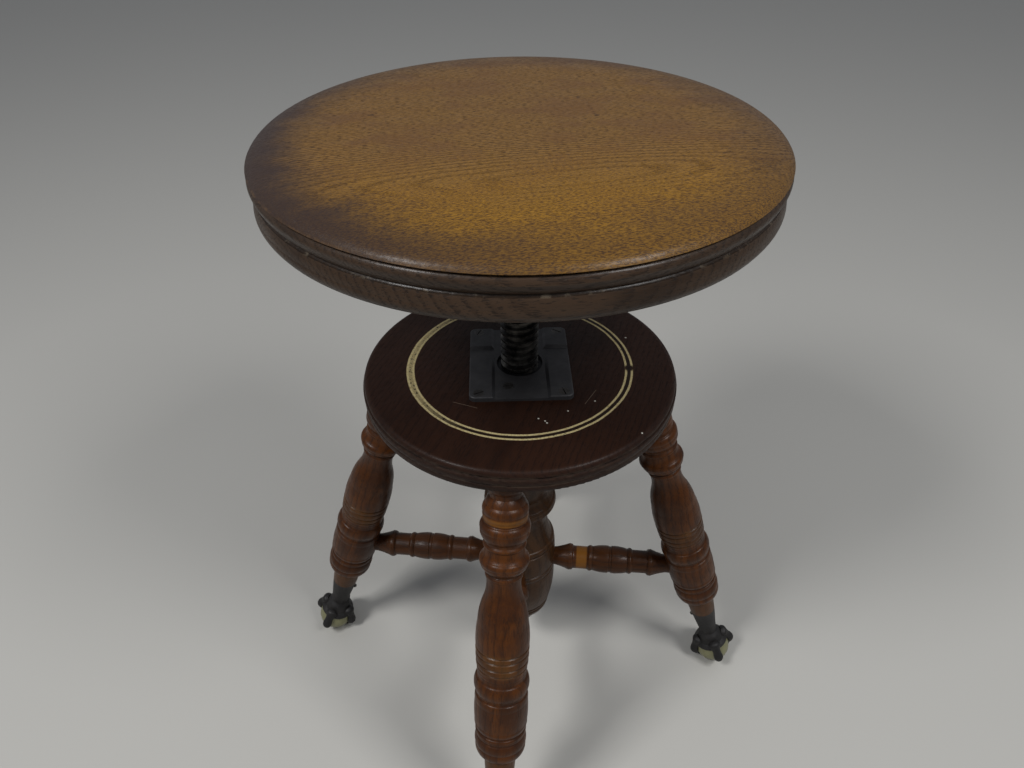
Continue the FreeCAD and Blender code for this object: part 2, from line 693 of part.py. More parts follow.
def stretcher(name):
    """Turned stretcher between the hub and a leg."""
    inner, outer = stretcher_span()
    half = (outer - inner) / 2
    bead = turned(STRETCHER_START * STRETCHER_RADIUS, STRETCHER_ELEMENTS, half, STRETCHER_RADIUS)
    middle = V((inner + outer) / 2, 0, STRETCHER_HEIGHT)
    outwards = FreeCAD.Placement(middle, FreeCAD.Rotation(V(0, 1, 0), 90))
    inwards = FreeCAD.Placement(middle, FreeCAD.Rotation(V(0, 1, 0), -90))
    shape = stretcher_rod(0.0).fuse([moved(bead, outwards), moved(bead, inwards)])
    return turned_about_axis(shape.removeSplitter(), leg_azimuth(name))


def leg(name):
    """Turned leg with a peg at its foot, a tenon at its top and a stretcher socket."""
    shank = turned(COLLAR_TOP_RADIUS, LEG_ELEMENTS, LEG_LENGTH - COLLAR_TOP, LEG_RADIUS)
    shank.translate(V(0, 0, COLLAR_TOP))
    neck = rod(LEG_ELEMENTS[-1][1] * LEG_RADIUS, LEG_LENGTH - LEG_NECK_OVERLAP, LEG_LENGTH + LEG_TENON_ROOT)
    body = on_leg(shank.fuse([neck, leg_peg(0.0)]), name)
    above = block(4 * FOOT_CIRCLE_RADIUS, 4 * FOOT_CIRCLE_RADIUS, DISC_UNDERSIDE, SEAT_JOINT)
    body = body.cut(above).fuse(on_leg(leg_tenon(0.0), name))
    return body.cut([placed_stretcher_socket(name), on_leg(foot_pin(JOINT_CLEARANCE), name)])


def talon():
    """One curved finger of the claw, swelling at its knuckles and pointed at its tip."""
    tip = TALON_TIP_RADIUS
    stations = [(share, part * TALON_KNUCKLE_RADIUS) for share, part in TALON_STATIONS]
    rings = []
    for share, radius in stations + [(1.0, tip)]:
        angle = math.radians(share * TALON_TIP_ANGLE)
        reach = BALL_RADIUS + TALON_CENTRE_SHARE * radius
        centre = V(reach * math.sin(angle), 0, reach * math.cos(angle))
        along = V(math.cos(angle), 0, -math.sin(angle))
        rings.append(Part.Wire(Part.makeCircle(radius, centre, along)))
    finger = Part.makeLoft(rings, True, False)
    return finger.fuse(Part.makeSphere(tip, centre))


def claw_foot(name):
    """Cast collar and palm with four talons that grip the glass ball."""
    rim = PALM_THICKNESS + BALL_RADIUS
    palm_base = rim * math.cos(math.radians(PALM_HALF_ANGLE))
    palm = Part.makeSphere(rim).common(rod(rim + 1, palm_base, rim + 1))
    collar = revolved([
        (0, COLLAR_BASE_HEIGHT),
        (rim * COLLAR_BASE_SHARE, COLLAR_BASE_HEIGHT),
        (COLLAR_NECK_RADIUS + COLLAR_FLARE, rim + COLLAR_FLARE_RISE),
        (COLLAR_NECK_RADIUS, COLLAR_NECK),
        (COLLAR_TOP_RADIUS, COLLAR_TOP),
        (0, COLLAR_TOP),
    ])
    talons = []
    for index in range(TALON_COUNT):
        talons.append(turned_about_axis(talon(), index * 360.0 / TALON_COUNT + FOOT_TURNS[name]))
    casting = palm.fuse([collar] + talons)
    ball = Part.makeSphere(BALL_RADIUS + JOINT_CLEARANCE)
    for tool in (ball, foot_pin(JOINT_CLEARANCE), leg_peg(JOINT_CLEARANCE)):
        casting = casting.cut(tool)
    return on_leg(casting, name)


def foot_pins():
    """The four nails that fix the claw feet."""
    return Part.makeCompound([on_leg(foot_pin(0.0), name) for name in LEG_NAMES])


def glass_ball(name):
    """Solid glass ball in one claw."""
    return on_leg(Part.makeSphere(BALL_RADIUS), name)


def build_all():
    """Every sub-part by name."""
    nodes = {
        "seat_top_board": seat_top_board(),
        "seat_rim_board": seat_rim_board(),
        "seat_iron": seat_iron(),
        "seat_iron_screws": seat_screws(0.0, True),
        "seat_iron_pin": seat_iron_pin(0.0),
        "spindle": spindle(),
        "spindle_stop_pin": spindle_stop_pin(0.0),
        "spindle_stop_washer": spindle_stop_washer(),
        "spindle_nut": spindle_nut(),
        "nut_plate": nut_plate(),
        "nut_plate_screws": plate_screws(0.0, True),
        "base_disc": base_disc(),
        "centre_hub": centre_hub(),
        "foot_pins": foot_pins(),
    }
    for name in LEG_NAMES:
        nodes["leg_" + name] = leg(name)
        nodes["stretcher_" + name] = stretcher(name)
        nodes["claw_foot_" + name] = claw_foot(name)
        nodes["glass_ball_" + name] = glass_ball(name)
    return nodes


os.makedirs("parts", exist_ok=True)
for node, shape in build_all().items():
    solids = len(shape.Solids)
    box = shape.BoundBox
    print(node, "solids", solids, "valid", shape.isValid(), "volume", round(shape.Volume))
    print("    z", round(box.ZMin, 2), round(box.ZMax, 2), "x", round(box.XMin, 2), round(box.XMax, 2))
    shape.exportStep("parts/" + node + ".step")
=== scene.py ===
"""Dresses the revolving piano stool: its wood, iron, steel and glass, with light and a camera.

Blender works in metres. The finishes read Object coordinates in millimetres, turned so that the
grain of each wooden piece runs along their Z. A pair of levels says where a smooth step starts
and where it ends.
"""
import json
import logging
import math
from dataclasses import dataclass, replace
from enum import Enum
from typing import Any, Iterable, Optional, Union

import bmesh
import bpy
from mathutils import Matrix, Vector

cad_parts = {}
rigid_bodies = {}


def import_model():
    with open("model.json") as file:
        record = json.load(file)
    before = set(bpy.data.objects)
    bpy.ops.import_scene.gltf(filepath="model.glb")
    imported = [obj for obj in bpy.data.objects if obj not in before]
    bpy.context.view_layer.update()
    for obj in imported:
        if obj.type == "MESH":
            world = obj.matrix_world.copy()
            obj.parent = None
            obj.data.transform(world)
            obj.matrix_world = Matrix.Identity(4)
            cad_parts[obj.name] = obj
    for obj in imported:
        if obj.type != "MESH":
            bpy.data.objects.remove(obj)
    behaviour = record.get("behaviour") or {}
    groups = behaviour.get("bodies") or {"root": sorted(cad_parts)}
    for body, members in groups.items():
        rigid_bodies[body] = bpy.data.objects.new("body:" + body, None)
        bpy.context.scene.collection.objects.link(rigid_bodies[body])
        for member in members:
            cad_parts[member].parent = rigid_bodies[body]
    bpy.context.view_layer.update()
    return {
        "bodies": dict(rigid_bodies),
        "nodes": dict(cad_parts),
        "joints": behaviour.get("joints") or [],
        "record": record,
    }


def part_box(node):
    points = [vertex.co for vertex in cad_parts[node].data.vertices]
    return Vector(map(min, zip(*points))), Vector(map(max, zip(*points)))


LOG = logging.getLogger("stool")
MILLIMETRE = 0.001
LEG_NAMES = ("front", "right", "back", "left")
QUARTER_TURN = 90.0
Colour = tuple[float, float, float]
Levels = tuple[float, float]
Number = Union[int, float]

# Nodes
NOISE_MEAN = 0.5
OCCLUSION_SAMPLES = 8
MIX_FACTOR, MIX_FIRST, MIX_SECOND, MIX_RESULT = 0, 6, 7, 2
SHORTEST_MARK = 0.001
MARK_CORE, MARK_EDGE = 0.3, 0.6


class Direction(Enum):
    """Which side of a step is kept at full strength."""

    RISING = "rising"
    FALLING = "falling"


class Value:
    """A number that changes over a surface, with one Math node for each operation on it."""

    def __init__(self, recipe: "Recipe", socket: bpy.types.NodeSocket) -> None:
        """Keep the recipe that owns the socket, so that an expression can add nodes to it.

        Args:
            recipe: The recipe whose tree holds the socket.
            socket: The output socket that gives the number.
        """
        self.recipe = recipe
        self.socket = socket

    def _math(self, operation: str, first: Any, second: Any) -> "Value":
        """Add one Math node.

        Args:
            operation: Name of the node's operation.
            first: First number or value.
            second: Second number or value.

        Returns:
            The node's result.
        """
        return self.recipe.node("ShaderNodeMath", {"operation": operation}, {0: first, 1: second})

    def __add__(self, other: Any) -> "Value":
        """Sum."""
        return self._math("ADD", self, other)

    def __radd__(self, other: Any) -> "Value":
        """Sum with a number on the left."""
        return self._math("ADD", other, self)

    def __sub__(self, other: Any) -> "Value":
        """Difference."""
        return self._math("SUBTRACT", self, other)

    def __rsub__(self, other: Any) -> "Value":
        """Difference with a number on the left."""
        return self._math("SUBTRACT", other, self)

    def __mul__(self, other: Any) -> "Value":
        """Product."""
        return self._math("MULTIPLY", self, other)

    def __neg__(self) -> "Value":
        """The same number with the other sign."""
        return self._math("MULTIPLY", -1, self)

    def __truediv__(self, other: Any) -> "Value":
        """Quotient."""
        return self._math("DIVIDE", self, other)

    def __pow__(self, other: Any) -> "Value":
        """Power."""
        return self._math("POWER", self, other)

    def __abs__(self) -> "Value":
        """Distance from zero."""
        return self._math("ABSOLUTE", self, 0.0)


def distance(first: Value, second: Value) -> Value:
    """Distance from the origin of a point with these two coordinates."""
    return (first * first + second * second) ** 0.5


def with_alpha(given: Any) -> Any:
    """A colour with its alpha added, or anything else as it is."""
    return (*given, 1.0) if isinstance(given, tuple) else given


class Recipe:
    """The node tree of one finish."""

    def __init__(self, name: str) -> None:
        """Start an empty material.

        Args:
            name: Name of the material.
        """
        self.material = bpy.data.materials.new(name)
        self.material.use_nodes = True
        self.tree = self.material.node_tree
        self.tree.nodes.clear()

    def node(self, kind: str, settings: Optional[dict[str, Any]] = None,
             inputs: Optional[dict[Any, Any]] = None, output: Union[int, str] = 0) -> Value:
        """Add a node of any kind.

        Args:
            kind: Blender's name for the type of node.
            settings: Properties that are set before the sockets.
            inputs: Number, colour or link for each socket, by name or place.
            output: Name or place of the socket that is returned.

        Returns:
            The chosen output.
        """
        made = self.tree.nodes.new(kind)
        for key, setting in (settings or {}).items():
            setattr(made, key, setting)
        for key, given in (inputs or {}).items():
            if isinstance(given, Value):
                self.tree.links.new(given.socket, made.inputs[key])
            else:
                made.inputs[key].default_value = given
        return Value(self, made.outputs[output])

    def placed(self, place: Matrix) -> Value:
        """Object coordinates in millimetres, in the frame of a piece.

        Args:
            place: The frame, in metres.

        Returns:
            The vector.
        """
        given = self.node("ShaderNodeTexCoord", output="Object")
        inputs = {
            "Vector": given,
            "Location": place.to_translation(),
            "Rotation": place.to_euler("XYZ"),
            "Scale": (MILLIMETRE, MILLIMETRE, MILLIMETRE),
        }
        return self.node("ShaderNodeMapping", {"vector_type": "TEXTURE"}, inputs)

    def stretched(self, vector: Value, scale: tuple[float, float, float]) -> Value:
        """A vector with each axis multiplied by its own factor."""
        return self.node("ShaderNodeVectorMath", {"operation": "MULTIPLY"}, {0: vector, 1: scale})

    def split(self, vector: Value) -> tuple[Value, Value, Value]:
        """The three parts of a vector."""
        first = self.node("ShaderNodeSeparateXYZ", inputs={0: vector})
        outputs = first.socket.node.outputs
        return first, Value(self, outputs[1]), Value(self, outputs[2])

    def step(self, value: Value, low: Number, high: Number,
             direction: Direction = Direction.RISING) -> Value:
        """A smooth step between two levels.

        Args:
            value: What is compared.
            low: Where the step starts.
            high: Where it ends.
            direction: Whether it rises or falls.

        Returns:
            A value from 0 to 1.
        """
        ends = (0.0, 1.0) if direction is Direction.RISING else (1.0, 0.0)
        inputs = {"Value": value, "From Min": low, "From Max": high, "To Min": ends[0], "To Max": ends[1]}
        return self.node("ShaderNodeMapRange", {"interpolation_type": "SMOOTHSTEP"}, inputs)

    def mix(self, factor: Any, first: Any, second: Any) -> Value:
        """Blend of two colours.

        Args:
            factor: 0 for the first colour, 1 for the second.
            first: Colour or value.
            second: Colour or value.

        Returns:
            The blend.
        """
        settings = {"data_type": "RGBA", "clamp_factor": True}
        inputs = {MIX_FACTOR: factor, MIX_FIRST: with_alpha(first), MIX_SECOND: with_alpha(second)}
        return self.node("ShaderNodeMix", settings, inputs, MIX_RESULT)

    def _hidden(self, reach: float, inside: bool) -> Value:
        """How much of a point's surroundings its own piece fills.

        Args:
            reach: How far is looked, in millimetres.
            inside: Whether to look into the piece rather than out of it.

        Returns:
            0 where nothing is near and towards 1 where much is.
        """
        settings = {"samples": OCCLUSION_SAMPLES, "only_local": True, "inside": inside}
        inputs = {"Distance": reach * MILLIMETRE}
        return 1 - self.node("ShaderNodeAmbientOcclusion", settings, inputs, "AO")

    def crevice(self, reach: float) -> Value:
        """How deep a point lies in a groove or corner: 0 in the open and towards 1 in a groove."""
        return self._hidden(reach, inside=False)

    def edge(self, reach: float) -> Value:
        """How near a point lies to an outer edge: 0 on a flat face and towards 1 on an edge."""
        return self._hidden(reach, inside=True)

    def mark(self, across: tuple[Value, Value], start: tuple[float, float],
             end: tuple[float, float], width: float) -> Value:
        """A straight scratch, or a dot where its ends meet.

        Args:
            across: The two coordinates in which it lies, in millimetres.
            start: One end.
            end: The other end.
            width: Its width in millimetres.

        Returns:
            1 on the mark and 0 off it.
        """
        run = Vector(end) - Vector(start)
        length = max(run.length, SHORTEST_MARK)
        along = run / length if run.length > 0 else Vector((1.0, 0.0))
        u, v = across[0] - start[0], across[1] - start[1]
        forward = u * along.x + v * along.y
        past = forward - self.node("ShaderNodeClamp", inputs={0: forward, 1: 0.0, 2: length})
        aside = u * -along.y + v * along.x
        return self.step(distance(past, aside), width * MARK_CORE, width * MARK_EDGE, Direction.FALLING)

    def bump(self, height: Value, depth: float, under: Optional[Value] = None) -> Value:
        """A normal that follows a height.

        Args:
            height: Height from 0 to 1.
            depth: Depth of the relief in millimetres.
            under: A normal that this one is laid on.

        Returns:
            The normal.
        """
        inputs: dict[Any, Any] = {"Height": height, "Distance": depth * MILLIMETRE, "Strength": 1.0}
        if under is not None:
            inputs["Normal"] = under
        return self.node("ShaderNodeBump", inputs=inputs)

    def finish(self, **sockets: Any) -> bpy.types.Material:
        """End the tree in a Principled shader on the material's surface.

        Args:
            sockets: Numbers, colours or values by socket name, with _ for a space.

        Returns:
            The material.
        """
        inputs = {key.replace("_", " "): with_alpha(given) for key, given in sockets.items()}
        shader = self.node("ShaderNodeBsdfPrincipled", inputs=inputs)
        surface = self.tree.nodes.new("ShaderNodeOutputMaterial")
        self.tree.links.new(shader.socket, surface.inputs["Surface"])
        return self.material


@dataclass(frozen=True)
class Pattern:
    """Soft noise between 0 and 1, with its features for each millimetre.

    One number gives the same scale in every direction, three give one for each axis.
    """

    scale: Union[float, tuple[float, float, float]]
    detail: float = 2.0
    roughness: float = 0.5

    def read(self, recipe: Recipe, place: Value) -> Value:
        """The noise at a place.

        Args:
            recipe: The finish that is being made.
            place: Where it is read, in millimetres.

        Returns:
            The noise.
        """
        even = isinstance(self.scale, float)
        inputs = {
            "Vector": place if even else recipe.stretched(place, self.scale),
            "Scale": self.scale if even else 1.0,
            "Detail": self.detail,
            "Roughness": self.roughness,
        }
        return recipe.node("ShaderNodeTexNoise", inputs=inputs)


# Figure of the wood
SWAY = Pattern((0.022, 0.022, 0.005), detail=3.0)
RIPPLE = Pattern((0.25, 0.25, 0.035))
RIPPLE_DEPTH, RIPPLE_ASIDE = 1.1, 0.8
RING_START, RING_FADE = (0.9, 1.0), (0.0, 0.5)
FIBRE = Pattern((1.4, 1.4, 0.05), detail=3.0, roughness=0.6)
PORE_DETAIL = 1.5
PORES_BY_RING = 0.10
PORE_FADE = 0.10

# Stain, wear, soiling and painted groove shade of the wood
STAIN_CLOUD = Pattern((0.03, 0.03, 0.014), detail=4.0, roughness=0.6)
BLOTCH_LEVELS = (0.48, 0.72)
BLOTCH_STRENGTH, BLOTCH_DARKNESS = 0.55, 0.55
WEAR_PATCHES = Pattern((0.13, 0.13, 0.09), detail=4.0, roughness=0.65)
WEAR_LEVELS = (0.42, 0.62)
WEAR_REACH = 2.2
WEAR_GAIN = 2.4
DIRT_AND_SHADE_LEVELS = (0.10, 0.55)

# Gloss and relief of the wood
SMEARS = Pattern((0.06, 0.06, 0.04), detail=4.0)
SMEAR_ROUGHNESS = 0.25
PORE_ROUGHNESS = 0.12
DENTS = Pattern(0.16, detail=3.0)
DENT_DEPTH, PORE_DEPTH = 0.35, 0.05
COAT_ROUGHNESS = 0.18

# Old paint
PAINT_WHITE = (0.55, 0.53, 0.47)
PAINT_CHANCE = (0.86, 0.88)
PAINT_DROP = (0.03, 0.055)
PAINT_STRENGTH = 0.9


def grain_frame(origin: Vector, along: Vector, outwards: Vector) -> Matrix:
    """Frame whose Z runs along the grain and whose X points away from the tree's heart.

    Args:
        origin: A point of the piece, in metres.
        along: Direction of the grain.
        outwards: Direction away from the heart.

    Returns:
        The frame.
    """
    z = along.normalized()
    y = z.cross(outwards).normalized()
    x = y.cross(z)
    turn = Matrix((x, y, z)).transposed().to_4x4()
    return Matrix.Translation(origin) @ turn


@dataclass(frozen=True)
class Wood:
    """A stained wood, with lengths in millimetres."""

    late: Colour
    early: Colour
    pore: Colour
    worn: Colour
    # Near-black colour of painted shade and soiling in grooves and corners
    grime_and_shade: Colour = (0.006, 0.004, 0.003)
    heart: float = 60.0
    bow: float = 0.0
    ring_width: float = 2.4
    sway: float = 9.0
    ring_contrast: float = 0.5
    fibre_contrast: float = 0.8
    pore_strength: float = 0.6
    pore_threshold: float = 0.57
    pore_length: float = 6.0
    pore_width: float = 0.8
    wear: float = 0.5
    grime_and_shade_strength: float = 0.85
    crevice_reach: float = 5.0
    roughness: float = 0.42
    coat: float = 0.25
    gloss: float = 0.16

    def figure(self, recipe: Recipe, place: Value) -> tuple[Value, Value]:
        """Growth rings, fibres and pores.

        Args:
            recipe: The finish that is being made.
            place: Millimetres in the grain's frame.

        Returns:
            The colour and the depth of the open grain from 0 to 1.
        """
        x, y, z = recipe.split(place)
        sway = SWAY.read(recipe, place) - NOISE_MEAN
        ripple = RIPPLE.read(recipe, place) - NOISE_MEAN
        depth = x + z * z * self.bow + sway * self.sway + ripple * RIPPLE_DEPTH + self.heart
        rings = distance(depth, y + ripple * RIPPLE_ASIDE) / self.ring_width
        phase = recipe.node("ShaderNodeMath", {"operation": "FRACT"}, {0: rings})
        band = recipe.step(phase, *RING_FADE, Direction.FALLING) + recipe.step(phase, *RING_START)
        fibre = FIBRE.read(recipe, place) - NOISE_MEAN
        tone = recipe.mix(band * self.ring_contrast + fibre * self.fibre_contrast, self.late, self.early)
        across = 1 / self.pore_width
        pores = Pattern((across, across, 1 / self.pore_length), detail=PORE_DETAIL).read(recipe, place)
        levels = (self.pore_threshold, self.pore_threshold + PORE_FADE)
        open_grain = recipe.step(pores + band * PORES_BY_RING, *levels)
        return recipe.mix(open_grain * self.pore_strength, tone, self.pore), open_grain

    def blotched(self, recipe: Recipe, place: Value, tone: Value) -> Value:
        """Uneven stain laid over the figure."""
        blotches = recipe.step(STAIN_CLOUD.read(recipe, place), *BLOTCH_LEVELS)
        dark = recipe.mix(BLOTCH_DARKNESS, self.early, self.pore)
        return recipe.mix(blotches * BLOTCH_STRENGTH, tone, dark)

    def aged_with_groove_shade(self, recipe: Recipe, place: Value, tone: Value) -> Value:
        """Wear on the edges, and painted shade with soiling in the grooves.

        Args:
            recipe: The finish that is being made.
            place: Millimetres in the grain's frame.
            tone: The colour so far.

        Returns:
            The colour with wear, soiling and painted groove shade.
        """
        patches = recipe.step(WEAR_PATCHES.read(recipe, place), *WEAR_LEVELS)
        rubbed = recipe.edge(WEAR_REACH) * patches * (WEAR_GAIN * self.wear)
        tone = recipe.mix(rubbed, tone, self.worn)
        # painted shade: grooves and corners that the piece itself hides are darkened towards near-black,
        # standing for shade as well as soiling
        dirt_and_shade = recipe.step(recipe.crevice(self.crevice_reach), *DIRT_AND_SHADE_LEVELS)
        return recipe.mix(dirt_and_shade * self.grime_and_shade_strength, tone, self.grime_and_shade)

    def shaded(self, recipe: Recipe, place: Value, tone: Value, open_grain: Value) -> bpy.types.Material:
        """End the finish with gloss and relief.

        Args:
            recipe: The finish that is being made.
            place: Millimetres in the grain's frame.
            tone: Its colour.
            open_grain: Depth of the open grain.

        Returns:
            The material.
        """
        smears = SMEARS.read(recipe, place) - NOISE_MEAN
        rough = self.roughness + smears * SMEAR_ROUGHNESS + open_grain * PORE_ROUGHNESS
        normal = recipe.bump(DENTS.read(recipe, place), DENT_DEPTH)
        normal = recipe.bump(1 - open_grain, PORE_DEPTH, normal)
        return recipe.finish(Base_Color=tone, Roughness=rough, Normal=normal, Coat_Weight=self.coat,
                             Specular_IOR_Level=self.gloss, Coat_Roughness=COAT_ROUGHNESS)

    def material(self, name: str, frame: Matrix) -> bpy.types.Material:
        """The whole finish for one piece.

        Args:
            name: Name of the material.
            frame: The grain's frame.

        Returns:
            The material.
        """
        recipe = Recipe(name)
        place = recipe.placed(frame)
        tone, open_grain = self.figure(recipe, place)
        tone = self.aged_with_groove_shade(recipe, place, self.blotched(recipe, place, tone))
        return self.shaded(recipe, place, tone, open_grain)


@dataclass(frozen=True)
class Metal:
    """A dark metal, with lengths in millimetres."""

    colour: Colour
    bright: Colour
    dust: Colour
    metallic: float = 0.8
    roughness: float = 0.5
    grit: float = 0.6
    relief: float = 0.12
    shine: float = 0.5
    dusting: float = 0.25
    shade: Pattern = Pattern(0.07, detail=3.0)
    shade_levels: Levels = (0.4, 0.7)
    shade_strength: float = 0.4
    rub_reach: float = 1.2
    rub_levels: Levels = (0.40, 0.60)
    rub_gloss: float = 0.15
    dust_reach: float = 4.0
    dust_levels: Levels = (0.15, 0.7)
    dust_patches: Levels = (0.35, 0.65)
    grit_roughness: float = 0.3

    def material(self, name: str) -> bpy.types.Material:
        """The finish, which needs no grain.

        Args:
            name: Name of the material.

        Returns:
            The material.
        """
        recipe = Recipe(name)
        place = recipe.placed(Matrix.Identity(4))
        fine = Pattern(self.grit, detail=4.0, roughness=0.65).read(recipe, place)
        shade = recipe.step(self.shade.read(recipe, place), *self.shade_levels)
        rubbed = recipe.edge(self.rub_reach) * recipe.step(fine, *self.rub_levels) * self.shine
        tone = recipe.mix(shade * self.shade_strength, self.colour, self.bright)
        tone = recipe.mix(rubbed, tone, self.bright)
        settled = recipe.step(recipe.crevice(self.dust_reach), *self.dust_levels)
        settled = settled * recipe.step(fine, *self.dust_patches)
        tone = recipe.mix(settled * self.dusting, tone, self.dust)
        rough = self.roughness + (fine - NOISE_MEAN) * self.grit_roughness - rubbed * self.rub_gloss
        normal = recipe.bump(fine, self.relief)
        return recipe.finish(Base_Color=tone, Roughness=rough, Metallic=self.metallic, Normal=normal)


@dataclass(frozen=True)
class Glass:
    """Old pressed glass."""

    colour: Colour = (0.26, 0.25, 0.13)
    roughness: float = 0.35
    scuffs: Pattern = Pattern(0.35, detail=5.0, roughness=0.7)
    scuff_levels: Levels = (0.45, 0.75)
    scuff_roughness: float = 0.35
    waves: Pattern = Pattern(0.09, detail=1.0)
    wave_depth: float = 0.6
    clearness: float = 0.30
    refraction: float = 1.5

    def material(self, name: str) -> bpy.types.Material:
        """The finish, cloudy where it has rubbed on floors."""
        recipe = Recipe(name)
        place = recipe.placed(Matrix.Identity(4))
        scuffs = recipe.step(self.scuffs.read(recipe, place), *self.scuff_levels)
        normal = recipe.bump(self.waves.read(recipe, place), self.wave_depth)
        return recipe.finish(Base_Color=self.colour, Normal=normal, IOR=self.refraction,
                             Roughness=self.roughness + scuffs * self.scuff_roughness,
                             Transmission_Weight=self.clearness)


# Finishes
SEAT_OAK = Wood(
    late=(0.180, 0.093, 0.024), early=(0.074, 0.036, 0.012), pore=(0.022, 0.010, 0.005),
    worn=(0.24, 0.13, 0.045), heart=45.0, bow=0.00045, ring_width=2.1, sway=7.0, ring_contrast=0.85,
    fibre_contrast=1.7, pore_strength=0.85, pore_threshold=0.53, pore_length=4.0, wear=0.15,
    grime_and_shade_strength=0.6, roughness=0.38, coat=0.05)
RIM_OAK = Wood(
    late=(0.044, 0.026, 0.0155), early=(0.024, 0.0135, 0.008), pore=(0.008, 0.005, 0.0035),
    worn=(0.12, 0.085, 0.058), wear=0.35, ring_width=3.0, roughness=0.38, coat=0.10)
DISC_WOOD = Wood(
    late=(0.022, 0.0090, 0.0052), early=(0.0135, 0.0056, 0.0034), pore=(0.0075, 0.0034, 0.0024),
    worn=(0.09, 0.062, 0.042), ring_contrast=0.35, wear=0.3, ring_width=4.0, pore_length=9.0,
    roughness=0.46, coat=0.04, gloss=0.10)
TURNED_WOOD = Wood(
    late=(0.074, 0.0225, 0.0040), early=(0.029, 0.0090, 0.0024), pore=(0.009, 0.004, 0.0022),
    worn=(0.16, 0.064, 0.015), heart=38.0, ring_width=6.2, sway=26.0, ring_contrast=0.42,
    pore_strength=0.45, pore_length=11.0, wear=0.28, grime_and_shade_strength=0.95, crevice_reach=7.0,
    roughness=0.34, coat=0.04)
HUB_WOOD = replace(TURNED_WOOD, late=(0.042, 0.0175, 0.0055), early=(0.020, 0.0085, 0.0032))
GOLDEN_BROWN = (0.170, 0.068, 0.010)
CAST_IRON = Metal(colour=(0.022, 0.022, 0.024), bright=(0.06, 0.06, 0.062), dust=(0.09, 0.075, 0.06))
FOOT_IRON = Metal(
    colour=(0.010, 0.009, 0.009), bright=(0.034, 0.031, 0.030), dust=(0.10, 0.08, 0.055),
    metallic=0.35, roughness=0.55, grit=0.45, relief=0.3, dusting=0.22)
PLATE_STEEL = Metal(
    colour=(0.040, 0.039, 0.041), bright=(0.075, 0.073, 0.075), dust=(0.08, 0.068, 0.055),
    metallic=0.45, roughness=0.52, grit=0.25, relief=0.10)
SPINDLE_STEEL = Metal(
    colour=(0.020, 0.019, 0.018), bright=(0.34, 0.32, 0.28), dust=(0.05, 0.035, 0.025),
    roughness=0.40, grit=0.5, relief=0.05, shine=1.0)
SCREW_STEEL = Metal(
    colour=(0.040, 0.037, 0.035), bright=(0.12, 0.11, 0.10), dust=(0.05, 0.035, 0.03),
    metallic=0.7, roughness=0.42, grit=0.5, relief=0.05, shine=0.8)
OLD_GLASS = Glass()


def dress(node: bpy.types.Object, material: bpy.types.Material) -> None:
    """Give a carried-over piece its finish.

    Args:
        node: The piece.
        material: Its finish.
    """
    if node.material_slots:
        for holder in node.material_slots:
            holder.material = material
    else:
        node.data.materials.append(material)
    LOG.info("%s: %s", node.name, material.name)


def with_paint_specks(recipe: Recipe, place: Value, tone: Value, spacing: float) -> Value:
    """Small drops of old white paint here and there.

    Args:
        recipe: The finish that is being made.
        place: Where the drops are read, in millimetres.
        tone: The colour under them.
        spacing: Distance between places where a drop may lie, in millimetres.

    Returns:
        The colour with the drops.
    """
    inputs = {"Vector": place, "Scale": 1 / spacing}
    cells = recipe.node("ShaderNodeTexVoronoi", inputs=inputs, output="Distance")
    chance = Value(recipe, cells.socket.node.outputs["Color"])
    lucky = recipe.step(recipe.split(chance)[0], *PAINT_CHANCE)
    drops = recipe.step(cells, *PAINT_DROP, Direction.FALLING) * lucky
    return recipe.mix(drops * PAINT_STRENGTH, tone, PAINT_WHITE)


